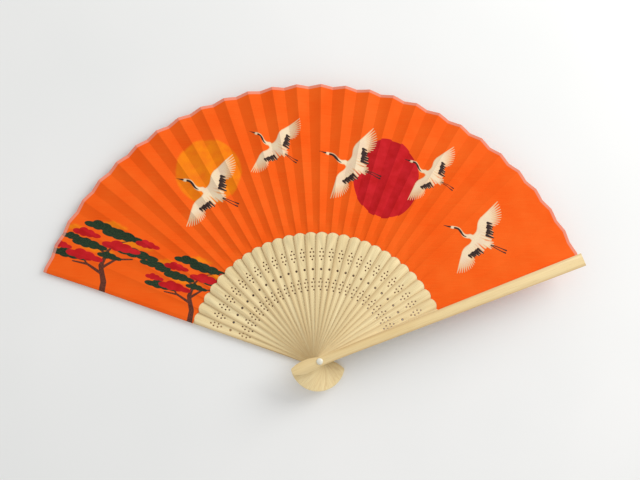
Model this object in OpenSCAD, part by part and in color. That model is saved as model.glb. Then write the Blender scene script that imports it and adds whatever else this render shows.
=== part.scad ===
// Folding hand fan with a pierced bamboo frame and a pleated cloth leaf, lying open and
// face up. The origin is on the rivet's axis, in the plane of the rear guard's back face.
// +Z points out of the fan's face and +Y towards the middle of the leaf. Rib 1 lies on the
// rear guard, each later rib lies on the one before it, and the front guard is on top.

/* [Opening] */
// Direction of the first rib, counted from +X
first_axis = 160; // [150:0.1:170]
// Angle from one rib to the next when the fan is open
rib_step = 5.13; // [4:0.01:6.2]
// Angle by which each guard stands outside the end rib beside it
guard_lead = 0.5; // [0:0.1:1]

/* [Guards] */
// Thickness of a guard
guard_t = 2; // [1.5:0.1:3]
// Width of a guard at its outer end
guard_end_w = 8.9; // [7:0.1:11]
// Width of a guard at its neck
guard_neck_w = 5.8; // [4.5:0.1:7.5]
// Length of the front guard past the leaf's outer edge
guard_over = 1.5; // [0.5:0.1:5]
// Length by which the rear guard stops short of the leaf's outer edge
guard_short = 1.5; // [0.5:0.1:5]
// Room between the last rib and the front guard for the leaf
guard_gap = 0.25; // [0.2:0.05:0.6]

/* [Ribs] */
// Distance from the rivet to the rounded shoulder's end
rib_reach = 86; // [72:0.5:105]
// Width of a rib at its shoulder
rib_w = 8; // [6.5:0.1:9.6]
// Radius of the curve that a rib's shoulder ends in
shoulder_round = 5; // [4.9:0.1:7]
// Width of a rib at its neck
rib_neck_w = 5.4; // [4.4:0.1:6.6]
// Thickness of a rib
rib_t = 0.55; // [0.45:0.01:0.7]
// Gap between one rib and the next
rib_gap = 0.1; // [0.08:0.01:0.15]
// Length of straight neck in front of the rivet
neck_len = 20; // [10:0.5:25]
// Length of the full width in front of the shoulder's round
shoulder_len = 9; // [4:0.5:12]

/* [Tails] */
// Distance from the rivet to a tail's rounded end
tail_reach = 19; // [16:0.5:24]
// Radius of the curve that a tail ends in
tail_round = 5; // [4:0.5:10]
// Greatest width of a tail
tail_w = 8.6; // [7:0.1:10]
// Distance from the rivet to the tail's widest place
tail_belly = 8.5; // [7:0.5:10]
// Radius of a tail's bowed sides
tail_bow = 25; // [22:1:34]

/* [Piercing] */
// Diameter of the small holes
hole_d = 0.9; // [0.7:0.05:1.2]
// Diameter of the single hole between the two clusters
eye_d = 1.4; // [1:0.05:1.8]
// Distance from the shoulder's end to the outer cluster's middle
outer_cluster = 14.9; // [12:0.1:18]
// Distance from the shoulder's end to the single hole
eye_place = 25; // [22:0.1:27]
// Distance from the shoulder's end to the inner cluster's middle
inner_cluster = 35.1; // [31:0.1:38]
// Half the length of a cluster, between its two end holes
cluster_half = 3.6; // [2.8:0.1:4.4]
// Half the distance between a cluster's pairs, along the rib
pair_along = 1.4; // [1.1:0.05:1.7]
// Half the distance between the two holes of a pair
pair_across = 1.05; // [0.8:0.05:1.3]

/* [Slips] */
// Width of a slip, the thin strip that carries the leaf
slip_w = 2.6; // [2:0.1:3.2]
// Thickness of a slip
slip_t = 0.25; // [0.2:0.01:0.3]
// Length of slip held in the rib's shoulder
slip_root = 4; // [3:0.5:8]
// Distance from a slip's end to the leaf's outer edge
slip_inset = 4; // [2:0.5:10]

/* [Leaf] */
// Distance from the rivet to the leaf's outer edge on a ridge fold
leaf_reach = 189; // [156:0.5:228]
// Distance by which a valley fold's outer end is nearer the rivet
leaf_zigzag = 1; // [0:0.1:2]
// Gap between a rib's shoulder and the leaf
leaf_clear = 0.3; // [0.2:0.05:0.6]
// Gap between the leaf and the notch where two neighbouring shoulders meet
notch_gap = 1; // [0.6:0.1:2.4]
// Thickness of the cloth
leaf_t = 0.12; // [0.08:0.01:0.14]
// Thickness of the glue between a slip and the leaf
glue_t = 0.02; // [0.01:0.01:0.03]
// Gap between two neighbouring pieces of the leaf at a ridge fold
fold_gap = 0.05; // [0.02:0.01:0.1]
// Slope of the pleats where the leaf is fully folded
pleat_tilt = 13; // [6:0.5:14]
// Count of ribs over which the pleats grow from flat, beside each guard
tilt_ribs = 6; // [5:1:9]
// Length over which a pleat takes its slope, outwards from the shoulders
tilt_run = 8; // [6:0.5:12]

/* [Rivet] */
// Diameter of the rivet's shaft
rivet_d = 2.5; // [2:0.1:3]
// Gap around the shaft in each stick's bore
rivet_clear = 0.05; // [0.02:0.01:0.1]
// Diameter of the rivet's head and of its cap
rivet_head_d = 4.3; // [4:0.1:5.2]
// Height of the rivet's domed head
rivet_head_h = 1.1; // [0.8:0.1:1.6]
// Thickness of the rivet's cap
rivet_cap_t = 0.8; // [0.5:0.1:1]
// Depth of the cap's outer face below the rear guard's back face
rivet_cap_in = 0.1; // [0.05:0.05:0.3]
// Gap between the cap and its seat, and between the cap and the shaft
rivet_seat_gap = 0.02; // [0.01:0.01:0.05]

/* [Hidden] */
$fn = 64;
rib_count = 28;
rib_pitch = rib_t + rib_gap;
shoulder_place = rib_reach - shoulder_round;
notch_depth = sqrt(max(0, pow(shoulder_round, 2) - pow(shoulder_place * sin(rib_step / 2), 2)));
notch_reach = shoulder_place * cos(rib_step / 2) + notch_depth;
leaf_inner = rib_reach + leaf_clear;
leaf_tooth_inner = min(leaf_inner, notch_reach + notch_gap);
slip_reach = leaf_reach - slip_inset;
front_guard_z = rib_z(rib_count) + rib_t + guard_gap;
bore_d = rivet_d + 2 * rivet_clear;
twist_steps = 4;
through = 1;
RIBS = [for (k = [1:rib_count]) str("rib_", k < 10 ? "0" : "", k)];
LEAVES = [for (k = [1:rib_count]) str("leaf_", k < 10 ? "0" : "", k)];

// Direction, lower face and pleat slope of rib k
function rib_axis(k) = first_axis - (k - 1) * rib_step;
function rib_z(k) = guard_t + rib_gap + (k - 1) * rib_pitch;
function rib_tilt(k) = pleat_tilt * min(1, (min(k, rib_count + 1 - k) - 1) / tilt_ribs);

// Underside of the leaf on rib k, and its rise or fall from there to a fold at radius r
function leaf_z(k) = rib_z(k) + rib_t + glue_t;
function share(r) = max(0, min(1, (r - rib_reach) / tilt_run));
function fold_rise(k, r) = r * sin(rib_step / 4) * tan(rib_tilt(k) * share(r));

// Radii at which the twisting strips have a cross-section
TWIST = [for (i = [0:twist_steps]) leaf_inner + i / twist_steps * (tilt_run - leaf_clear)];

function polar(r, angle, z) = [r * cos(angle), r * sin(angle), z];
function raised(rows, h) = [for (row = rows) [for (p = row) p + [0, 0, h]]];
function flat_list(lists) = [for (l = lists) each l];

// A closed slab between two grids of points. Rows run outwards and columns clockwise.
module slab(bottom, top) {
    n = len(bottom);
    m = len(bottom[0]);
    all = n * m;
    rim = concat([for (i = [0:n - 1]) i * m],
                 [for (j = [1:m - 1]) (n - 1) * m + j],
                 [for (i = [n - 2:-1:0]) i * m + m - 1],
                 [for (j = [m - 2:-1:1]) j]);
    cells = [for (i = [0:n - 2], j = [0:m - 2]) i * m + j];
    polyhedron(concat(flat_list(bottom), flat_list(top)), concat(
        [for (c = cells) [all + c, all + c + m, all + c + m + 1]],
        [for (c = cells) [all + c, all + c + m + 1, all + c + 1]],
        [for (c = cells) [c, c + m + 1, c + m]],
        [for (c = cells) [c, c + 1, c + m + 1]],
        [for (i = [0:len(rim) - 1]) let (a = rim[i], b = rim[(i + 1) % len(rim)])
            each [[a, b, all + b], [a, all + b, all + a]]]));
}

// The bowed tail behind the rivet, which every stick has
module tail_outline() {
    intersection() {
        for_side(1) circle(tail_bow, $fn = 180);
        for_side(-1) circle(tail_bow, $fn = 180);
        translate([tail_round - tail_reach, 0]) {
            circle(tail_round);
            translate([0, -tail_w / 2]) square([2 * tail_reach, tail_w]);
        }
    }
}

module for_side(side) {
    translate([-tail_belly, side * (tail_bow - tail_w / 2)]) children();
}

module guard_outline(reach) {
    tail_outline();
    polygon([[0, -guard_neck_w / 2], [neck_len, -guard_neck_w / 2], [reach, -guard_end_w / 2],
             [reach, guard_end_w / 2], [neck_len, guard_neck_w / 2], [0, guard_neck_w / 2]]);
}

module rib_outline() {
    wide_at = shoulder_place - shoulder_len;
    tail_outline();
    intersection() {
        translate([shoulder_place, 0]) circle(shoulder_round);
        translate([wide_at, -rib_w / 2]) square([rib_reach, rib_w]);
    }
    polygon([[0, -rib_neck_w / 2], [neck_len, -rib_neck_w / 2], [wide_at, -rib_w / 2],
             [shoulder_place, -rib_w / 2], [shoulder_place, rib_w / 2], [wide_at, rib_w / 2],
             [neck_len, rib_neck_w / 2], [0, rib_neck_w / 2]]);
}

module bore(h) {
    translate([0, 0, -through]) cylinder(h = h + 2 * through, d = bore_d);
}

module pierce(x, y, d) {
    translate([x, y, -through]) cylinder(h = rib_t + 2 * through, d = d, $fn = 24);
}

module pierced_cluster(x) {
    for (side = [-1, 1]) {
        pierce(x + side * cluster_half, 0, hole_d);
        for (across = [-1, 1])
            pierce(x + side * pair_along, across * pair_across, hole_d);
    }
}

// The slip's four corners at radius r, turned by its share of the pleat's slope
function slip_edge(k, r, side, face) =
    let (a = rib_tilt(k) * share(r), y = side * slip_w / 2, z = face * slip_t / 2)
    [r, y * cos(a) - z * sin(a), rib_t - slip_t / 2 + y * sin(a) + z * cos(a)];

module slip(k) {
    radii = concat([rib_reach - slip_root], TWIST, [slip_reach]);
    slab([for (r = radii) [for (side = [1, -1]) slip_edge(k, r, side, -1)]],
         [for (r = radii) [for (side = [1, -1]) slip_edge(k, r, side, 1)]]);
}

module rib(k) {
    color("burlywood")
    rotate([0, 0, rib_axis(k)])
    translate([0, 0, rib_z(k)]) {
        difference() {
            linear_extrude(rib_t) rib_outline();
            bore(rib_t);
            pierced_cluster(rib_reach - outer_cluster);
            pierce(rib_reach - eye_place, 0, eye_d);
            pierced_cluster(rib_reach - inner_cluster);
        }
        slip(k);
    }
}

// A column of the leaf's points on fold line f of rib k: its ridge, its valley, the middle of
// the free panel, or the free panel's end just before the next rib's ridge
function leaf_point(k, f, r) =
    f == "ridge" ? polar(r, rib_axis(k) + rib_step / 4, leaf_z(k) + fold_rise(k, r)) :
    f == "valley" ? polar(r, rib_axis(k) - rib_step / 4, leaf_z(k) - fold_rise(k, r)) :
    f == "end" ? polar(r, rib_axis(k + 1) + rib_step / 4 + asin(fold_gap / r),
                       leaf_z(k + 1) + fold_rise(k + 1, r)) :
    f == "middle" ? polar(r, rib_axis(k) - rib_step / 2,
                          (leaf_point(k, "valley", r).z + leaf_point(k, "end", r).z) / 2) :
    margin_point(r);

// The leaf's first edge, glued down along the rear guard's own edge
function margin_point(r) =
    let (half = (guard_neck_w + (guard_end_w - guard_neck_w) * (r - neck_len)
                 / (leaf_reach - guard_short - neck_len)) / 2)
    polar(r, first_axis + guard_lead + asin(half / r), guard_t + glue_t);

function leaf_start(f) = f == "middle" ? leaf_tooth_inner : leaf_inner;
function leaf_end(f) = leaf_reach - (f == "valley" ? leaf_zigzag : f == "middle" ? leaf_zigzag / 2 : 0);

module leaf(k) {
    folds = concat(k == 1 ? ["margin"] : [], ["ridge", "valley"],
                   k < rib_count ? ["middle", "end"] : []);
    inner_row = [for (f = folds) leaf_point(k, f, leaf_start(f))];
    outer_row = [for (f = folds) leaf_point(k, f, leaf_end(f))];
    twist_rows = [for (i = [1:twist_steps]) [for (f = folds) leaf_point(k, f, TWIST[i])]];
    rows = concat([inner_row], twist_rows, [outer_row]);
    color("orangered") slab(rows, raised(rows, leaf_t));
}

module rear_guard() {
    color("wheat")
    rotate([0, 0, first_axis + guard_lead])
    difference() {
        linear_extrude(guard_t) guard_outline(leaf_reach - guard_short);
        bore(guard_t);
        translate([0, 0, -through])
            cylinder(h = through + rivet_cap_in + rivet_cap_t + rivet_seat_gap,
                     d = rivet_head_d + 2 * rivet_seat_gap);
    }
}

module front_guard() {
    color("wheat")
    rotate([0, 0, rib_axis(rib_count) - guard_lead])
    translate([0, 0, front_guard_z])
    difference() {
        linear_extrude(guard_t) guard_outline(leaf_reach + guard_over);
        bore(guard_t);
    }
}

module rivet() {
    head_z = front_guard_z + guard_t + rivet_clear;
    dome_r = (pow(rivet_head_d / 2, 2) + pow(rivet_head_h, 2)) / (2 * rivet_head_h);
    color("ivory") {
        translate([0, 0, rivet_cap_in]) cylinder(h = head_z - rivet_cap_in + rivet_clear, d = rivet_d);
        intersection() {
            translate([0, 0, head_z + rivet_head_h - dome_r]) sphere(dome_r);
            translate([0, 0, head_z]) cylinder(h = rivet_head_h, d = rivet_head_d);
        }
    }
}

module rivet_cap() {
    color("ivory")
    translate([0, 0, rivet_cap_in])
    difference() {
        cylinder(h = rivet_cap_t, d = rivet_head_d);
        translate([0, 0, -through])
            cylinder(h = rivet_cap_t + 2 * through, d = rivet_d + 2 * rivet_seat_gap);
    }
}

rear_guard();
front_guard();
rivet();
rivet_cap();
for (k = [1:rib_count]) rib(k);
for (k = [1:rib_count]) leaf(k);
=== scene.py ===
"""The looks of a folding hand fan: pierced bamboo sticks, a plastic rivet and a pleated,
printed cloth leaf. Lengths are in metres, angles in degrees and the print in millimetres.
"""

import math

import bpy
import numpy as np
from mathutils import Matrix, Vector


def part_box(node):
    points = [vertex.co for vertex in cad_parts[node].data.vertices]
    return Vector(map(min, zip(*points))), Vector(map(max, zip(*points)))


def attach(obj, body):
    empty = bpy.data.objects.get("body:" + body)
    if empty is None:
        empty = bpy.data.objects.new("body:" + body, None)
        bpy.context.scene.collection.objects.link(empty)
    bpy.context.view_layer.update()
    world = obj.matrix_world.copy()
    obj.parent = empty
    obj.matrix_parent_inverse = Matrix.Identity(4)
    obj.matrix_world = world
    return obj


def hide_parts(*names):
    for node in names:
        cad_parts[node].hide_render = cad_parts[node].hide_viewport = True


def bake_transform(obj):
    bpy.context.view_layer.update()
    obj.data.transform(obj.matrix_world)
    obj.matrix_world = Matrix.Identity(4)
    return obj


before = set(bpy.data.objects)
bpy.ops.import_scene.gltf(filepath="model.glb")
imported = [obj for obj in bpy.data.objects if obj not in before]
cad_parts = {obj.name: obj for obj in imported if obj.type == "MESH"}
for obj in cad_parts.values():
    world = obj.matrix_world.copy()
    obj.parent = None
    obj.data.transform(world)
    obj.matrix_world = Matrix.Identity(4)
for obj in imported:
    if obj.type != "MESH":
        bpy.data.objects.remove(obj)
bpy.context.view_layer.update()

MM = 0.001

# ---- The frame's own sizes -------------------------------------------------------------

RIB_COUNT = 28
FIRST_AXIS = 160
RIB_STEP = 5.13
GUARD_LEAD = 0.5
GUARD_T = 2 * MM
GUARD_NECK_W = 5.8 * MM
GUARD_END_W = 8.9 * MM
NECK_LEN = 20 * MM
REAR_GUARD_REACH = 187.5 * MM
RIB_REACH = 86 * MM
RIB_W = 8 * MM
RIB_NECK_W = 5.4 * MM
SHOULDER_LEN = 9 * MM
SHOULDER_ROUND = 5 * MM
RIB_T = 0.55 * MM
RIB_GAP = 0.1 * MM
RIB_PITCH = RIB_T + RIB_GAP
GLUE_T = 0.02 * MM
PLEAT_TILT = 13
TILT_RIBS = 6
TILT_RUN = 8 * MM
LEAF_REACH = 189 * MM
LEAF_ZIGZAG = 1 * MM
RIVET_D = 2.5 * MM
RIVET_HEAD_D = 4.3 * MM
HOLE_D = 0.9 * MM
EYE_D = 1.4 * MM
EYE_PLACE = RIB_REACH - 25 * MM
CLUSTER_PLACES = (RIB_REACH - 14.9 * MM, RIB_REACH - 35.1 * MM)
CLUSTER_HALF = 3.6 * MM
PAIR_ALONG = 1.4 * MM
PAIR_ACROSS = 1.05 * MM

# ---- Sizes that only the looks need ----------------------------------------------------

RIB_BEVEL = 0.1 * MM
GUARD_BEVEL = 0.35 * MM
SHAFT_BEVEL = 0.1 * MM
HEAD_BEVEL = 0.12 * MM
CAP_BEVEL = 0.15 * MM
SMOOTH_ANGLE = math.radians(35)
BEVEL_ANGLE = math.radians(40)
# Each rib's grain starts further along than the last one's.
GRAIN_SHIFT = 0.37
GUARD_GRAIN_SHIFT = 0.9
CLOTH_T = 0.09 * MM
HALF_STEP = RIB_STEP / 2
# How many degrees the last piece reaches past the front guard's axis, under the guard.
LAST_TUCK = 1.2
PANEL_COLUMNS = 17
LEAF_ROWS = 200
NOTCH_REACH = 84.6 * MM
SHOULDER_CLEAR = 0.08 * MM
# Width of the brown ring round each pierced hole: partly scorch, partly painted shade of the
# hole.
SCORCH_AND_SHADE_W = 0.3 * MM
WALL_FACE = (0.32 * MM) ** 2
PANEL_CLIMB = 2.5
PANEL_CLIMB_AT_RIBS = 8
STRIP_ANGLE = 162.1
STRIP_PROUD = 0.15 * MM
STRIP_COLUMNS = 4
HEM_W = 2.0


def rib_axis(k):
    return FIRST_AXIS - (k - 1) * RIB_STEP


def rib_tilt(k):
    return PLEAT_TILT * min(1, (min(k, RIB_COUNT + 1 - k) - 1) / TILT_RIBS)


def leaf_z(k):
    """Height of the cloth's underside on rib k, between its folds."""
    return GUARD_T + RIB_GAP + (k - 1) * RIB_PITCH + RIB_T + GLUE_T


def tilt_share(r):
    return np.clip((r - RIB_REACH) / TILT_RUN, 0, 1)


def fold_rise(k, r):
    """Height of rib k's ridge fold above its slip at radius r, which its valley falls by."""
    slope = np.tan(np.radians(rib_tilt(k) * tilt_share(r)))
    return r * math.sin(math.radians(RIB_STEP / 4)) * slope


def body_of_rib(k):
    return "rear_guard" if k == 1 else "front_guard" if k == RIB_COUNT else f"rib_{k:02d}"


# ---- Shader helpers --------------------------------------------------------------------

def srgb(red, green, blue):
    """A screen colour, 0 to 255 a channel, as the linear colour that shaders take."""
    def linear(c):
        c /= 255
        return c / 12.92 if c <= 0.04045 else ((c + 0.055) / 1.055) ** 2.4
    return (linear(red), linear(green), linear(blue), 1)


class Shader:
    """One material's node tree, with a short call for each kind of node."""

    def __init__(self, name, roughness, **sockets):
        self.material = bpy.data.materials.new(name)
        self.material.use_nodes = True
        self.tree = self.material.node_tree
        self.principled = self.tree.nodes["Principled BSDF"]
        self.principled.inputs["Roughness"].default_value = roughness
        for socket, value in sockets.items():
            self.principled.inputs[socket.replace("_", " ")].default_value = value

    def node(self, kind, **settings):
        node = self.tree.nodes.new("ShaderNode" + kind)
        for name, value in settings.items():
            setattr(node, name, value)
        return node

    def put(self, value, socket):
        if isinstance(value, bpy.types.NodeSocket):
            self.tree.links.new(value, socket)
        else:
            socket.default_value = value

    def attribute(self, name):
        return self.node("Attribute", attribute_name=name).outputs["Fac"]

    def uv(self, name, scale=(1, 1, 1)):
        mapping = self.node("Mapping")
        self.put(self.node("UVMap", uv_map=name).outputs["UV"], mapping.inputs["Vector"])
        mapping.inputs["Scale"].default_value = scale
        return mapping.outputs["Vector"]

    def place(self, scale=(1, 1, 1)):
        mapping = self.node("Mapping")
        self.put(self.node("TexCoord").outputs["Object"], mapping.inputs["Vector"])
        mapping.inputs["Scale"].default_value = scale
        return mapping.outputs["Vector"]

    def noise(self, vector, scale=1, detail=2, rough=0.5):
        node = self.node("TexNoise")
        self.put(vector, node.inputs["Vector"])
        node.inputs["Scale"].default_value = scale
        node.inputs["Detail"].default_value = detail
        node.inputs["Roughness"].default_value = rough
        return node.outputs["Fac"]

    def bands(self, vector, direction):
        node = self.node("TexWave", bands_direction=direction)
        self.put(vector, node.inputs["Vector"])
        node.inputs["Scale"].default_value = 1
        node.inputs["Distortion"].default_value = 0.6
        node.inputs["Detail"].default_value = 1
        return node.outputs["Fac"]

    def math(self, operation, a, b=0.0):
        node = self.node("Math", operation=operation)
        self.put(a, node.inputs[0])
        self.put(b, node.inputs[1])
        return node.outputs[0]

    def span(self, value, low, high, to_low=0.0, to_high=1.0, smooth=False):
        node = self.node("MapRange", interpolation_type="SMOOTHSTEP" if smooth else "LINEAR")
        for socket, v in zip(node.inputs[:5], (value, low, high, to_low, to_high)):
            self.put(v, socket)
        return node.outputs[0]

    def mix(self, share, a, b, way="MIX"):
        node = self.node("MixRGB", blend_type=way)
        for socket, v in zip(node.inputs, (share, a, b)):
            self.put(v, socket)
        return node.outputs[0]

    def bump(self, height, distance, strength=1.0, normal=None):
        node = self.node("Bump")
        self.put(height, node.inputs["Height"])
        node.inputs["Distance"].default_value = distance
        node.inputs["Strength"].default_value = strength
        if normal is not None:
            self.put(normal, node.inputs["Normal"])
        return node.outputs["Normal"]

    def finish(self, colour, roughness=None, normal=None):
        self.put(colour, self.principled.inputs["Base Color"])
        if roughness is not None:
            self.put(roughness, self.principled.inputs["Roughness"])
        if normal is not None:
            self.put(normal, self.principled.inputs["Normal"])
        return self.material


# ---- Materials -------------------------------------------------------------------------

def scorched_and_shaded(s, colour):
    """Browns the bamboo round the pierced holes, by the distance to the nearest one's rim:
    partly scorch, partly painted shade that darkens the holes.
    """
    gap = 1.0
    for along, across, d in hole_places():
        spread = s.node("VectorMath", operation="DISTANCE")
        s.put(s.uv("stick"), spread.inputs[0])
        spread.inputs[1].default_value = (along, across, 0)
        gap = s.math("MINIMUM", s.math("SUBTRACT", spread.outputs["Value"], d / 2), gap)
    return s.mix(s.span(gap, SCORCH_AND_SHADE_W, 0, 0, 0.8, smooth=True), colour, srgb(166, 106, 62))


def bamboo(name, light, dark, crown, roughness, widths, wide_at, pierced=False):
    """Planed bamboo, with painted shade darkening it towards its long edges. The UV maps "grain"
    and "stick" run along it and, from its middle, across it. widths are at the neck and at the
    place wide_at."""
    s = Shader(name, roughness, Specular_IOR_Level=0.35)
    broad = s.noise(s.uv("grain", (9, 120, 1)), detail=1)
    fibres = s.noise(s.uv("grain", (28, 2300, 1)), detail=3, rough=0.6)
    hairs = s.noise(s.uv("grain", (90, 8000, 1)), detail=2)
    flecks = s.span(s.noise(s.uv("grain", (70, 3600, 1)), detail=1), 0.66, 0.74, smooth=True)
    colour = s.mix(s.span(broad, 0.3, 0.7), light, dark)
    colour = s.mix(s.span(fibres, 0.42, 0.75, 0, 0.5), colour, srgb(196, 160, 98))
    colour = s.mix(s.span(hairs, 0.3, 0.7, 0, 0.25), colour, srgb(250, 236, 196))
    colour = s.mix(s.math("MULTIPLY", flecks, 0.35), colour, srgb(150, 108, 58))
    place = s.node("SeparateXYZ")
    s.put(s.uv("stick"), place.inputs[0])
    half = s.span(place.outputs["X"], NECK_LEN, wide_at, widths[0] / 2, widths[1] / 2)
    edge = s.math("DIVIDE", s.math("ABSOLUTE", place.outputs["Y"]), half)
    dome = s.math("SUBTRACT", 1.0, s.math("MULTIPLY", edge, edge))
    # Painted shade towards the long edges, where the crowned face turns from the light and the
    # next stick's shadow falls; it fades out at the neck.
    edge_shade = s.math("MULTIPLY", s.span(edge, 0.4, 1.05, 0, 0.42, smooth=True),
                   s.span(place.outputs["X"], 0, NECK_LEN, 0.15, 1))
    colour = s.mix(edge_shade, colour, srgb(178, 134, 80))
    normal = s.bump(dome, crown)
    normal = s.bump(fibres, 0.03 * MM, 0.6, normal)
    normal = s.bump(hairs, 0.012 * MM, 0.5, normal)
    rough = s.span(fibres, 0.3, 0.7, roughness - 0.07, roughness + 0.1)
    return s.finish(scorched_and_shaded(s, colour) if pierced else colour, rough, normal)


def burnt_and_shaded_bamboo():
    """The wall of a pierced hole, browned as scorch and darkened with painted shade of the hole.
    """
    s = Shader("burnt_and_shaded_bamboo", 0.85, Specular_IOR_Level=0.2)
    char = s.noise(s.place((4000, 4000, 4000)), detail=2)
    colour = s.mix(s.span(char, 0.35, 0.65), srgb(140, 84, 48), srgb(184, 122, 74))
    return s.finish(colour, s.span(char, 0.3, 0.7, 0.75, 0.95), s.bump(char, 0.03 * MM, 0.7))


def weave(s):
    """Height of the threads, over and under, on the UV map "cloth"."""
    warp = s.bands(s.uv("cloth", (560, 560, 560)), "X")
    weft = s.bands(s.uv("cloth", (560, 560, 560)), "Y")
    return s.math("MULTIPLY", warp, weft)


def ink(s, colour, name, shade, fade=0.12, strength=1.0):
    """Lays one ink of the print over colour, inside the outline where its distance is 0."""
    cover = s.span(s.attribute(name), fade, -fade, 0, strength, smooth=True)
    return s.mix(cover, colour, shade)


def printed(s, colour, strength):
    """The print: two suns, pines and five cranes, each ink with its own unevenness."""
    blot = s.noise(s.uv("cloth", (160, 160, 160)), detail=3)
    fine = s.noise(s.uv("cloth", (1500, 1500, 1500)), detail=2)
    amber = s.mix(s.span(blot, 0.35, 0.7), srgb(255, 140, 0), srgb(248, 122, 4))
    crimson = s.mix(s.span(blot, 0.35, 0.65), srgb(192, 14, 20), srgb(208, 26, 36))
    green = s.mix(s.span(fine, 0.4, 0.6), srgb(26, 44, 30), srgb(48, 70, 44))
    bark = s.mix(s.span(fine, 0.4, 0.6), srgb(78, 42, 32), srgb(120, 64, 44))
    inside = s.span(s.attribute("ink_cream"), -0.05, -0.75, smooth=True)
    cream = s.mix(inside, srgb(240, 190, 140), srgb(248, 228, 192))
    cream = s.mix(s.span(blot, 0.45, 0.75, 0, 0.45), cream, srgb(236, 196, 176))
    dark = s.mix(s.span(fine, 0.4, 0.7), srgb(46, 32, 30), srgb(74, 54, 48))
    for name, shade in (("ink_amber", amber), ("ink_crimson", crimson), ("ink_bark", bark),
                        ("ink_green", green), ("ink_red", crimson), ("ink_cream", cream),
                        ("ink_black", dark)):
        fade = 1.1 if name == "ink_amber" else 0.12
        colour = ink(s, colour, name, shade, fade, strength)
    return colour


def leaf_front():
    s = Shader("leaf_front", 0.8, Specular_IOR_Level=0.2, Sheen_Weight=0.05,
               Sheen_Roughness=0.4)
    threads = weave(s)
    dye = s.noise(s.uv("cloth", (45, 45, 45)), detail=3)
    slub = s.noise(s.uv("cloth", (60, 2600, 1)), detail=2)
    colour = s.mix(s.span(dye, 0.3, 0.7), srgb(255, 102, 8), srgb(250, 90, 0))
    colour = s.mix(s.span(slub, 0.4, 0.75, 0, 0.3), colour, srgb(255, 122, 36))
    colour = printed(s, colour, 1.0)
    # Painted shade: the cloth turning down the rear guard's edge faces away from the light and
    # is painted darker and browner.
    colour = s.mix(s.attribute("strip"), colour, srgb(176, 60, 22))
    hem = s.span(s.attribute("rim"), HEM_W + 0.15, HEM_W - 0.15, 0, 0.62, smooth=True)
    colour = s.mix(hem, colour, srgb(238, 168, 150))
    # Painted shade between the threads: the cloth is darker where the weave is low.
    colour = s.mix(s.span(threads, 0.0, 0.5, 0.16, 0.0), colour, srgb(120, 20, 0), "MULTIPLY")
    normal = s.bump(threads, 0.02 * MM, 0.5)
    normal = s.bump(slub, 0.02 * MM, 0.4, normal)
    return s.finish(colour, s.span(dye, 0.3, 0.7, 0.74, 0.88), normal)


def leaf_back():
    """The cloth's reverse, where the print shows through faintly."""
    s = Shader("leaf_back", 0.88, Specular_IOR_Level=0.2, Sheen_Weight=0.1)
    threads = weave(s)
    dye = s.noise(s.uv("cloth", (60, 60, 60)), detail=3)
    colour = s.mix(s.span(dye, 0.3, 0.7), srgb(250, 128, 62), srgb(244, 116, 50))
    colour = printed(s, colour, 0.3)
    hem = s.span(s.attribute("rim"), HEM_W + 0.15, HEM_W - 0.15, 0, 0.5, smooth=True)
    colour = s.mix(hem, colour, srgb(238, 176, 158))
    return s.finish(colour, s.span(dye, 0.3, 0.7, 0.82, 0.94), s.bump(threads, 0.02 * MM, 0.5))


def rivet_plastic():
    s = Shader("rivet_plastic", 0.3, Specular_IOR_Level=0.5, Subsurface_Weight=0.1)
    mottle = s.noise(s.place((700, 700, 700)), detail=3)
    colour = s.mix(s.span(mottle, 0.3, 0.7), srgb(244, 238, 222), srgb(232, 222, 198))
    return s.finish(colour, s.span(mottle, 0.3, 0.7, 0.24, 0.4), s.bump(mottle, 0.02 * MM, 0.3))


def table_top():
    s = Shader("table_top", 0.75, Specular_IOR_Level=0.2)
    tone = s.noise(s.place((7, 7, 7)), detail=2)
    return s.finish(s.mix(s.span(tone, 0.3, 0.7), srgb(236, 237, 236), srgb(241, 241, 240)))


# ---- The print's shapes: signed distances in millimetres, negative inside ---------------

# A distance beyond FAR counts as FAR. No crane or pine reaches past its spread.
FAR = 9.0
CRANE_SPREAD = 45
FLOCK_COUNT = 5
FLOCK_FROM = 123
FLOCK_STEP = 21.4
FLOCK_REACH = (134, 147)
FLOCK_HEADING = (158, 148)
FLOCK_SIZE = (1.0, 0.86)
AMBER_SUN = (-74, 127, 22, 22)
CRIMSON_SUN = (46, 123.5, 22.5, 27.5)
SUN_STEP = 0.8

# The two pines: place of the trunk's foot and size. Both repeat one tree. Its wood is lines
# through points, with the half-widths they start and end with, and its pads each have the
# place of their middle, a length and a height.
PINES = ((-143, 42, 1.08), (-85, 25, 0.95))
PINE_MIDDLE = (4, 22)
PINE_SPREAD = 52
PINE_WOOD = (
    (((0, -4), (2, 9), (0, 19), (4, 28)), (2.1, 1.0)),
    (((1, 14), (-8, 20), (-17, 22)), (1.0, 0.4)),
    (((1, 18), (9, 23), (19, 23)), (0.9, 0.4)),
    (((3, 26), (-4, 32), (-9, 36)), (0.8, 0.3)),
    (((4, 28), (9, 33), (16, 34)), (0.7, 0.3)),
    (((-8, 20), (-12, 25), (-18, 28)), (0.5, 0.3)),
)
PINE_GREEN = ((-19, 25, 22, 6), (22, 25, 24, 6), (-7, 31, 20, 6), (13, 36, 24, 6.5),
              (0, 42, 20, 6), (33, 19, 18, 5), (-17, 36, 13, 4.5), (5, 24, 14, 4.5))
PINE_RED = ((-10, 24, 21, 6.5), (12, 29, 22, 6.5), (-9, 38, 16, 5.5), (28, 31, 14, 5),
            (-24, 31, 12, 4.5))
PINE_AMBER = ((-2, 28, 18, 5), (21, 31, 18, 5), (-14, 41, 14, 4), (8, 43, 13, 4))


def turned(vector, angle):
    c, s = math.cos(math.radians(angle)), math.sin(math.radians(angle))
    return np.array([c * vector[0] - s * vector[1], s * vector[0] + c * vector[1]])


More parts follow.
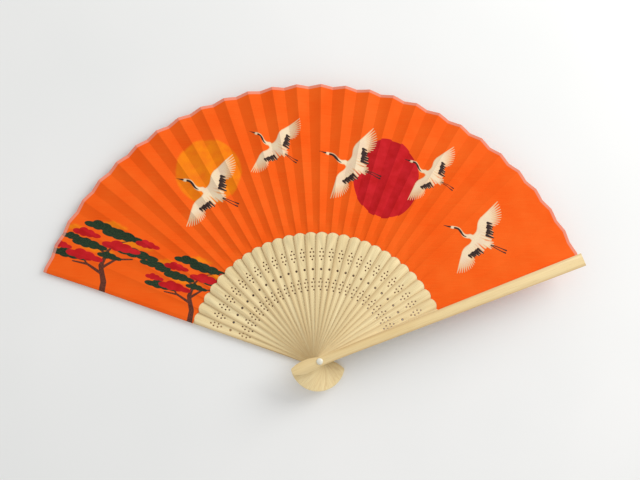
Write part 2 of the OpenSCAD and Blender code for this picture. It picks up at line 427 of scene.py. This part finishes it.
def stroke(p, points, widths):
    """A line through points, whose half-width runs evenly from each to the next."""
    points = np.asarray(points, float)
    widths = np.interp(np.linspace(0, 1, len(points)), np.linspace(0, 1, len(widths)), widths)
    best = np.full(len(p), FAR)
    for a, b, wa, wb in zip(points, points[1:], widths, widths[1:]):
        t = np.clip(((p - a) @ (b - a)) / ((b - a) @ (b - a)), 0, 1)
        gap = np.hypot(*(p - a - t[:, None] * (b - a)).T)
        best = np.minimum(best, gap - wa - (wb - wa) * t)
    return best


def curve(points, count=10):
    """Points along the Bezier curve with the given control points."""
    t = np.linspace(0, 1, count)[:, None]
    n = len(points) - 1
    return sum(math.comb(n, i) * t ** i * (1 - t) ** (n - i) * np.asarray(c, float)
               for i, c in enumerate(points))


def ellipse(p, centre, half_w, half_h):
    q = (p - centre) / (half_w, half_h)
    return (np.hypot(*q.T) - 1) * min(half_w, half_h)


def cloud(p, centre, length, height, lean=-22):
    """A pine's foliage pad: a flat-bottomed row of round tufts, leaning by an angle."""
    along, up = turned(np.array([1, 0]), lean), turned(np.array([0, 1]), lean)
    best = np.full(len(p), FAR)
    for i, share in enumerate((-0.36, -0.14, 0.1, 0.34)):
        tall = height * (0.3, 0.5, 0.42, 0.26)[i]
        middle = centre + along * share * length + up * tall * 0.5
        q = np.stack([(p - middle) @ along / (length * 0.2), (p - middle) @ up / tall], 1)
        best = np.minimum(best, (np.hypot(*q.T) - 1) * tall)
    base = stroke(p, [centre - along * length * 0.5, centre + along * length * 0.5],
                  (0.3, height * 0.3, 0.3))
    return np.minimum(best, base)


def wing(p, side, sweep, size):
    """Cream and black distances of a spread wing on one side of a bird that flies to +X."""
    q = np.stack([p[:, 0], p[:, 1] * side], 1) @ np.array(
        [turned(np.array([1, 0]), -sweep), turned(np.array([0, 1]), -sweep)]).T / size
    arm = curve([(2, 0), (-1, 8), (5, 9), (4, 15)], 9)
    wrist = arm[-1]
    cream, black = stroke(q, arm, (2.4, 1.8, 1.3)), np.full(len(p), FAR)
    for i, start in enumerate(arm):
        end = start + (-11 + 0.45 * i + 0.7 * (i % 2), 2.2)
        cream = np.minimum(cream, stroke(q, [start, end], (1.4, 1.3, 0.8)))
        if 1 < i < 8:
            inner = start + (end - start) * (0.5 + 0.03 * i)
            black = np.minimum(black, stroke(q, [inner, end - (0.7, 0)], (1.0, 1.1, 0.5)))
    for i in range(11):
        share = i / 10
        ahead = turned(np.array([1, 0]), 165 - 62 * share)
        start = wrist - (0, 2.5 * (1 - share))
        end = start + ahead * (11 + 6.5 * share ** 0.6)
        cream = np.minimum(cream, stroke(q, [start, end], (1.3, 1.05, 0.3)))
    return cream * size, black * size


def crane(p):
    """Cream and black distances of the one crane that the whole flock repeats. It is about
    45 long, flies towards +X and has its shoulders at the origin."""
    body = stroke(p, [(6, 0.2), (2, 0), (-4, 0), (-9, 0.2)], (1.1, 2.6, 2.2, 0.8))
    for y in (-2.4, -0.8, 0.8, 2.4):
        body = np.minimum(body, stroke(p, [(-6, y * 0.3), (-12 + abs(y) * 0.5, y)], (1.2, 0.4)))
    neck = curve([(5, 0.4), (11, -3.4), (12, 4.4), (18, 1.6)], 14)
    body = np.minimum(body, stroke(p, neck, (1.6, 0.95, 0.85)))
    body = np.minimum(body, stroke(p, [(18, 1.6), (19.3, 1.3)], (1.15, 0.8)))
    dark = stroke(p, neck[2:-1] - (0, 0.35), (0.3, 0.75, 0.65))
    dark = np.minimum(dark, stroke(p, [(19.6, 1.3), (24.5, 0.4)], (0.55, 0.15)))
    for y in (-1.3, 0.5):
        dark = np.minimum(dark, stroke(p, [(-10, y * 0.4), (-18, y), (-21, y)], (0.3, 0.3, 0.5)))
    for side, sweep, size in ((1, -8, 0.95), (-1, 10, 0.85)):
        feather, patch = wing(p, side, sweep, size)
        body, dark = np.minimum(body, feather), np.minimum(dark, patch)
    return body, dark


def flock(p):
    """Distances of the cranes, which follow each other at even steps round the leaf."""
    cream, black = np.full(len(p), FAR), np.full(len(p), FAR)
    for i in range(FLOCK_COUNT):
        angle, r = math.radians(FLOCK_FROM - i * FLOCK_STEP), FLOCK_REACH[i % 2]
        place = np.array([r * math.cos(angle), r * math.sin(angle)])
        near = np.hypot(*(p - place).T) < CRANE_SPREAD
        if not near.any():
            continue
        size = FLOCK_SIZE[i % 2]
        ahead = turned(np.array([1, 0]), FLOCK_HEADING[i % 2])
        side = np.array([ahead[1], -ahead[0]])
        q = np.stack([(p[near] - place) @ ahead, (p[near] - place) @ side], 1) / size
        body, dark = crane(q)
        cream[near] = np.minimum(cream[near], size * body)
        black[near] = np.minimum(black[near], size * dark)
    return cream, black


def pads(p, places):
    return np.minimum.reduce([cloud(p, np.array(c[:2]), *c[2:], lean=-14) for c in places])


def pines(p):
    """Distances of the two pines: foliage in green, red and amber, and bark."""
    inks = {name: np.full(len(p), FAR) for name in ("green", "red", "amber", "bark")}
    for x, y, size in PINES:
        q = (p - (x, y)) / size
        near = np.hypot(*(q - PINE_MIDDLE).T) < PINE_SPREAD
        if not near.any():
            continue
        q = q[near]
        wood = np.minimum.reduce([stroke(q, points, w) for points, w in PINE_WOOD])
        for name, d in (("green", pads(q, PINE_GREEN)), ("red", pads(q, PINE_RED)),
                        ("amber", pads(q, PINE_AMBER)), ("bark", wood)):
            inks[name][near] = np.minimum(inks[name][near], size * d)
    return inks


def print_distances(p, free):
    """Distance of every point of the leaf from each ink's outline. free marks the points of
    a free panel, where the suns' edges are a little out of step, as on pleated cloth."""
    stepped = p + unit_rows(p) * (SUN_STEP * free)[:, None]
    cream, black = flock(p)
    trees = pines(p)
    return {
        "ink_amber": np.minimum(ellipse(stepped, AMBER_SUN[:2], *AMBER_SUN[2:]), trees["amber"]),
        "ink_crimson": ellipse(stepped, CRIMSON_SUN[:2], *CRIMSON_SUN[2:]),
        "ink_cream": cream,
        "ink_black": black,
        "ink_green": trees["green"],
        "ink_red": trees["red"],
        "ink_bark": trees["bark"],
    }


def unit_rows(p):
    return p / np.hypot(*p.T)[:, None]


# ---- The leaf --------------------------------------------------------------------------

def shoulder_outline(offset):
    """Radius of a rib's rounded shoulder in a direction offset degrees from its axis."""
    place = RIB_REACH - SHOULDER_ROUND
    across = place * np.sin(np.radians(offset))
    depth = np.sqrt(np.maximum((SHOULDER_ROUND + SHOULDER_CLEAR) ** 2 - across ** 2, 0))
    return place * np.cos(np.radians(offset)) + depth


def leaf_ends(a):
    """Inner and outer radius of the leaf, a degrees clockwise from a ridge fold."""
    offset = RIB_STEP / 4 - a
    inner = np.maximum(shoulder_outline(offset), shoulder_outline(offset + RIB_STEP))
    outer = LEAF_REACH - LEAF_ZIGZAG * (1 - np.abs(a / HALF_STEP - 1))
    return np.maximum(inner, NOTCH_REACH), outer


def leaf_height(k, a, r):
    """Height of the cloth's underside on piece k, a degrees clockwise from its ridge."""
    rise = fold_rise(k, r)
    glued = leaf_z(k) + rise * (1 - 2 * a / HALF_STEP)
    v = np.clip(a / HALF_STEP - 1, 0, 1)
    climb = PANEL_CLIMB_AT_RIBS + (PANEL_CLIMB - PANEL_CLIMB_AT_RIBS) * tilt_share(r)
    free = leaf_z(k) - rise + v * (rise + fold_rise(min(k + 1, RIB_COUNT), r))
    free = free + RIB_PITCH * v ** climb
    return np.where(a <= HALF_STEP, glued, free) + ripple(k, a, r)


def ripple(k, a, r):
    """The slight unevenness of a cloth panel between its pressed folds."""
    out = (r - RIB_REACH) / (LEAF_REACH - RIB_REACH)
    wave = np.sin(9 * out + 1.7 * k) + 0.6 * np.sin(23 * out + 2.9 * k)
    loose = np.where(a > HALF_STEP, 0.05 * MM, 0.02 * MM)
    return loose * wave * np.sin(np.pi * a / HALF_STEP) ** 2 * np.clip(out, 0, 1)


def strip_columns(r):
    """Angles and heights of the rows of the strip that wraps the rear guard's edge."""
    share = (r - NECK_LEN) / (REAR_GUARD_REACH - NECK_LEN)
    half = (GUARD_NECK_W + (GUARD_END_W - GUARD_NECK_W) * share) / 2 + STRIP_PROUD
    edge = np.maximum(STRIP_ANGLE, FIRST_AXIS + GUARD_LEAD + np.degrees(np.arcsin(half / r)))
    ridge = rib_axis(1) + RIB_STEP / 4
    columns = [(edge, 0.35 * GUARD_T), (edge + 0.02, 0.75 * GUARD_T)]
    for i in range(STRIP_COLUMNS):
        t = i / STRIP_COLUMNS
        height = GUARD_T + GLUE_T + (leaf_z(1) - GUARD_T - GLUE_T) * t
        columns.append((edge + (ridge - edge) * t, height))
    return columns


def leaf_grid(k):
    """Angle, radius and height of piece k's grid of points, their angle from its ridge fold,
    and 1 for those that lie down the rear guard's edge."""
    columns = PANEL_COLUMNS * (1 if k == RIB_COUNT else 2) + 1
    span = HALF_STEP * (1 if k == RIB_COUNT else 2)
    a = np.linspace(0, span, columns)[None, :]
    rows = np.linspace(0, 1, LEAF_ROWS + 1)[:, None]
    inner, outer = leaf_ends(a)
    r = inner + (outer - inner) * rows
    angle = rib_axis(k) + RIB_STEP / 4 - a + 0 * r
    z = leaf_height(k, a + 0 * r, r)
    a = a + 0 * r
    strip = 0 * r
    if k == 1:
        extra = strip_columns(r[:, 0])
        angle = np.hstack([np.stack([c[0] + 0 * r[:, 0] for c in extra], 1), angle])
        z = np.hstack([np.stack([c[1] + 0 * r[:, 0] for c in extra], 1), z])
        r = np.hstack([np.repeat(r[:, :1], len(extra), 1), r])
        a = np.hstack([np.zeros((len(rows), len(extra))), a])
        outermost = [1, 1] + [0] * STRIP_COLUMNS
        strip = np.hstack([np.tile(outermost, (len(rows), 1)), strip])
    if k == RIB_COUNT:
        far_edge = rib_axis(k) - GUARD_LEAD - LAST_TUCK
        angle = np.hstack([angle, far_edge + 0 * angle[:, :1]])
        z, r = np.hstack([z, z[:, -1:]]), np.hstack([r, r[:, -1:]])
        a, strip = np.hstack([a, a[:, -1:]]), np.hstack([strip, strip[:, -1:]])
    return angle, r, z, a, strip


def sheet_faces(rows, columns):
    """Quads of a closed sheet between two grids of points, and how many are its top's, which
    come first."""
    count = rows * columns
    at = np.arange(count).reshape(rows, columns)
    top = np.stack([at[:-1, :-1], at[:-1, 1:], at[1:, 1:], at[1:, :-1]], -1).reshape(-1, 4)
    rim = np.concatenate([at[0, :], at[1:, -1], at[-1, -2::-1], at[-2:0:-1, 0]])
    after = np.roll(rim, -1)
    side = np.stack([rim + count, after + count, after, rim], 1)
    return np.concatenate([top, top[:, ::-1] + count, side]), len(top)


def twice(values):
    """One value a point for the cloth's top and again for its underside."""
    return np.tile(np.asarray(values).reshape(-1), 2)


def float_attribute(mesh, name, values):
    mesh.attributes.new(name, "FLOAT", "POINT").data.foreach_set(
        "value", np.asarray(values, np.float32))


def uv_map(mesh, name, u, v):
    corners = np.zeros(len(mesh.loops), np.int32)
    mesh.loops.foreach_get("vertex_index", corners)
    uv = np.stack([u[corners], v[corners]], 1).astype(np.float32)
    mesh.uv_layers.new(name=name).uv.foreach_set("vector", uv.ravel())


def crease(mesh, rows, columns, folds):
    """Marks the sheet's folds and rim as sharp, and smooths the rest."""
    mesh.shade_smooth()
    ends = np.zeros(len(mesh.edges) * 2, np.int32)
    mesh.edges.foreach_get("vertices", ends)
    ends = ends.reshape(-1, 2)
    row, column = np.divmod(ends % (rows * columns), columns)
    at_rim = ((row == 0) | (row == rows - 1) | (column == 0) | (column == columns - 1)).all(1)
    on_fold = (column[:, 0] == column[:, 1]) & np.isin(column[:, 0], folds)
    sharp = mesh.attributes.new("sharp_edge", "BOOLEAN", "EDGE")
    sharp.data.foreach_set("value", at_rim | on_fold)


def make_leaf(k, front, back):
    angle, r, z, a, strip = leaf_grid(k)
    rows, columns = r.shape
    x, y = r * np.cos(np.radians(angle)), r * np.sin(np.radians(angle))
    under = np.stack([x, y, z], -1).reshape(-1, 3)
    over = under + (0, 0, CLOTH_T)
    faces, tops = sheet_faces(rows, columns)
    mesh = bpy.data.meshes.new(f"leaf_cloth_{k:02d}")
    mesh.from_pydata(np.concatenate([over, under]).tolist(), [], faces.tolist())
    for material in (front, back):
        mesh.materials.append(material)
    slots = np.ones(len(faces), np.int32)
    slots[:tops] = 0
    mesh.polygons.foreach_set("material_index", slots)
    flat = np.stack([twice(x), twice(y)], 1) / MM
    free = twice(a) > HALF_STEP
    for name, distance in print_distances(flat, free).items():
        float_attribute(mesh, name, np.clip(distance, -FAR, FAR))
    float_attribute(mesh, "rim", twice((r[-1:] - r) / MM))
    float_attribute(mesh, "strip", twice(strip))
    uv_map(mesh, "cloth", twice(x), twice(y))
    across = np.linspace(0.01, 0.49, columns)[None, :] + 0 * r
    along = np.linspace(0.01, 0.99, rows)[:, None] + 0 * r
    bake_u = np.concatenate([across.ravel(), across.ravel() + 0.5])
    uv_map(mesh, "OFBake", bake_u, twice(along))
    valley = int(np.argmin(np.abs(a[0] - HALF_STEP)))
    crease(mesh, rows, columns, [valley, STRIP_COLUMNS + 2] if k == 1 else [valley])
    mesh.validate()
    piece = bpy.data.objects.new(mesh.name, mesh)
    bpy.context.scene.collection.objects.link(piece)
    if k < RIB_COUNT:
        fold_with_neighbour(piece)
    else:
        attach(piece, body_of_rib(k))
    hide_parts(f"leaf_{k:02d}")
    return piece


def fold_with_neighbour(piece):
    """Bakes the piece's place into its mesh, and leaves it on no body."""
    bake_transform(piece)


# ---- The sticks ------------------------------------------------------------------------

def activate(piece):
    bpy.ops.object.select_all(action="DESELECT")
    piece.select_set(True)
    bpy.context.view_layer.objects.active = piece


def apply_bevel(piece, width, segments):
    activate(piece)
    bevel = piece.modifiers.new("rounded_edges", "BEVEL")
    bevel.width, bevel.segments = width, segments
    bevel.limit_method, bevel.angle_limit = "ANGLE", BEVEL_ANGLE
    bevel.use_clamp_overlap = True
    bpy.ops.object.modifier_apply(modifier=bevel.name)


def hole_places():
    """Centres and diameters of one rib's pierced holes, along and across its axis."""
    holes = [(EYE_PLACE, 0, EYE_D)]
    for middle in CLUSTER_PLACES:
        for side in (-1, 1):
            holes.append((middle + side * CLUSTER_HALF, 0, HOLE_D))
            for across in (-1, 1):
                holes.append((middle + side * PAIR_ALONG, across * PAIR_ACROSS, HOLE_D))
    return holes


def make_stick(node, axis, materials, bevel, segments, holes, shift):
    """A stick with rounded edges, from a merged copy of its plain solid."""
    piece = bpy.data.objects.new(node + "_bamboo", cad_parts[node].data.copy())
    bpy.context.scene.collection.objects.link(piece)
    activate(piece)
    bpy.ops.object.mode_set(mode="EDIT")
    bpy.ops.mesh.select_all(action="SELECT")
    bpy.ops.mesh.remove_doubles(threshold=1e-6)
    bpy.ops.mesh.dissolve_limited(angle_limit=math.radians(0.5))
    bpy.ops.object.mode_set(mode="OBJECT")
    apply_bevel(piece, bevel, segments)
    mesh = piece.data
    mesh.materials.clear()
    for material in materials:
        mesh.materials.append(material)
    co = np.zeros(len(mesh.vertices) * 3)
    mesh.vertices.foreach_get("co", co)
    x, y, _ = co.reshape(-1, 3).T
    c, s = math.cos(math.radians(axis)), math.sin(math.radians(axis))
    along, across = c * x + s * y, c * y - s * x
    uv_map(mesh, "grain", along + shift, across)
    uv_map(mesh, "stick", along, across)
    # Hole walls take the second material: scorch brown with painted shade of the hole.
    slots = np.zeros(len(mesh.polygons), np.int32)
    for face in mesh.polygons:
        u = c * face.center.x + s * face.center.y
        v = c * face.center.y - s * face.center.x
        near = any(math.hypot(u - hu, v - hv) < d / 2 + bevel for hu, hv, d in holes)
        if near and face.area < WALL_FACE:
            slots[face.index] = 1
    mesh.polygons.foreach_set("material_index", slots)
    activate(piece)
    bpy.ops.object.shade_smooth_by_angle(angle=SMOOTH_ANGLE)
    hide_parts(node)
    return piece


def make_sticks():
    rib_wood = bamboo("rib_bamboo", srgb(246, 227, 176), srgb(236, 211, 156), 0.12 * MM,
                      0.55, (RIB_NECK_W, RIB_W), RIB_REACH - SHOULDER_ROUND - SHOULDER_LEN,
                      pierced=True)
    guard_wood = bamboo("guard_bamboo", srgb(236, 212, 158), srgb(226, 196, 136), 0.3 * MM,
                        0.45, (GUARD_NECK_W, GUARD_END_W), LEAF_REACH)
    burnt_and_shaded_wall = burnt_and_shaded_bamboo()
    for k in range(1, RIB_COUNT + 1):
        rib = make_stick(f"rib_{k:02d}", rib_axis(k), (rib_wood, burnt_and_shaded_wall), RIB_BEVEL, 2,
                         hole_places(), GRAIN_SHIFT * k)
        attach(rib, body_of_rib(k))
    for node, axis in (("rear_guard", FIRST_AXIS + GUARD_LEAD),
                       ("front_guard", rib_axis(RIB_COUNT) - GUARD_LEAD)):
        guard = make_stick(node, axis, (guard_wood,), GUARD_BEVEL, 3, (), GUARD_GRAIN_SHIFT)
        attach(guard, node)


# ---- The rivet -------------------------------------------------------------------------

def make_rivet(material):
    """A domed head with a rounded rim on the front guard, the shaft, and a flat cap."""
    low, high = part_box("rivet")
    cap_low, cap_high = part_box("rivet_cap")
    head_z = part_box("front_guard")[1].z
    half = RIVET_HEAD_D / 2
    bpy.ops.object.select_all(action="DESELECT")
    bpy.ops.mesh.primitive_uv_sphere_add(segments=48, ring_count=24, radius=half)
    head = bpy.context.object
    head.name = "rivet_head"
    bpy.ops.object.mode_set(mode="EDIT")
    bpy.ops.mesh.select_all(action="SELECT")
    bpy.ops.mesh.bisect(plane_co=(0, 0, 0), plane_no=(0, 0, 1), clear_inner=True, use_fill=True)
    bpy.ops.object.mode_set(mode="OBJECT")
    head.data.transform(Matrix.Diagonal((1, 1, (high.z - head_z) / half, 1)))
    head.data.transform(Matrix.Translation((0, 0, head_z)))
    apply_bevel(head, HEAD_BEVEL, 3)
    bpy.ops.mesh.primitive_cylinder_add(vertices=48, radius=RIVET_D / 2, depth=head_z - low.z)
    shaft = bpy.context.object
    shaft.name = "rivet_shaft"
    shaft.data.transform(Matrix.Translation((0, 0, (head_z + low.z) / 2)))
    apply_bevel(shaft, SHAFT_BEVEL, 2)
    bpy.ops.mesh.primitive_cylinder_add(vertices=48, radius=half, depth=cap_high.z - cap_low.z)
    cap = bpy.context.object
    cap.name = "rivet_cap_disc"
    cap.data.transform(Matrix.Translation((0, 0, (cap_high.z + cap_low.z) / 2)))
    apply_bevel(cap, CAP_BEVEL, 3)
    for piece, node in ((head, "rivet"), (shaft, "rivet"), (cap, "rivet_cap")):
        piece.location = (0, 0, 0)
        piece.data.materials.append(material)
        activate(piece)
        bpy.ops.object.shade_smooth_by_angle(angle=SMOOTH_ANGLE)
        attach(piece, "rear_guard")
        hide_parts(node)


# ---- Table, light and camera -----------------------------------------------------------

TABLE_SIZE = 6
SKY_STRENGTH = 0.71
KEY_PLACE = (0.79, 0.63, 0.56)
KEY_AIM = (0, 0.1, 0)
KEY_SIZE = 0.85
KEY_POWER = 8
KEY_COLOUR = (1, 0.99, 0.97)
CAMERA_PLACE = Vector((-50.0, -12.9, 568.6)) * MM
CAMERA_FORWARD = Vector((0.0903, 0.1647, -0.9822))
CAMERA_UP = Vector((-0.0151, 0.9863, 0.1640))
SENSOR_W = 36
LENS = 47.8125


def make_table():
    bpy.ops.object.select_all(action="DESELECT")
    bpy.ops.mesh.primitive_plane_add(size=TABLE_SIZE, location=(0, 0, 0))
    table = bpy.context.object
    table.name = "table"
    table.data.materials.append(table_top())


def add_light(name, place, aim, size, power, colour):
    light = bpy.data.lights.new(name, "AREA")
    light.shape, light.size, light.energy, light.color = "DISK", size, power, colour
    lamp = bpy.data.objects.new(name, light)
    bpy.context.scene.collection.objects.link(lamp)
    lamp.location = place
    lamp.rotation_mode = "QUATERNION"
    lamp.rotation_quaternion = (Vector(aim) - Vector(place)).to_track_quat("-Z", "Y")


def light_studio():
    world = bpy.data.worlds.new("studio")
    world.use_nodes = True
    sky = world.node_tree.nodes["Background"]
    sky.inputs["Color"].default_value = (1.0, 1.0, 1.0, 1)
    sky.inputs["Strength"].default_value = SKY_STRENGTH
    bpy.context.scene.world = world
    bpy.context.scene.view_settings.view_transform = "Standard"
    add_light("key", KEY_PLACE, KEY_AIM, KEY_SIZE, KEY_POWER, KEY_COLOUR)


def place_camera():
    data = bpy.data.cameras.new("camera")
    data.sensor_width = SENSOR_W
    data.lens = LENS
    data.clip_start, data.clip_end = 0.01, 20
    camera = bpy.data.objects.new("camera", data)
    bpy.context.scene.collection.objects.link(camera)
    back = -CAMERA_FORWARD.normalized()
    right = CAMERA_UP.cross(back).normalized()
    turn = Matrix((right, back.cross(right), back)).transposed()
    camera.matrix_world = Matrix.Translation(CAMERA_PLACE) @ turn.to_4x4()
    bpy.context.scene.camera = camera


place_camera()
light_studio()
make_table()
make_sticks()
make_rivet(rivet_plastic())
front, back = leaf_front(), leaf_back()
for k in range(1, RIB_COUNT + 1):
    make_leaf(k, front, back)

bpy.context.view_layer.update()
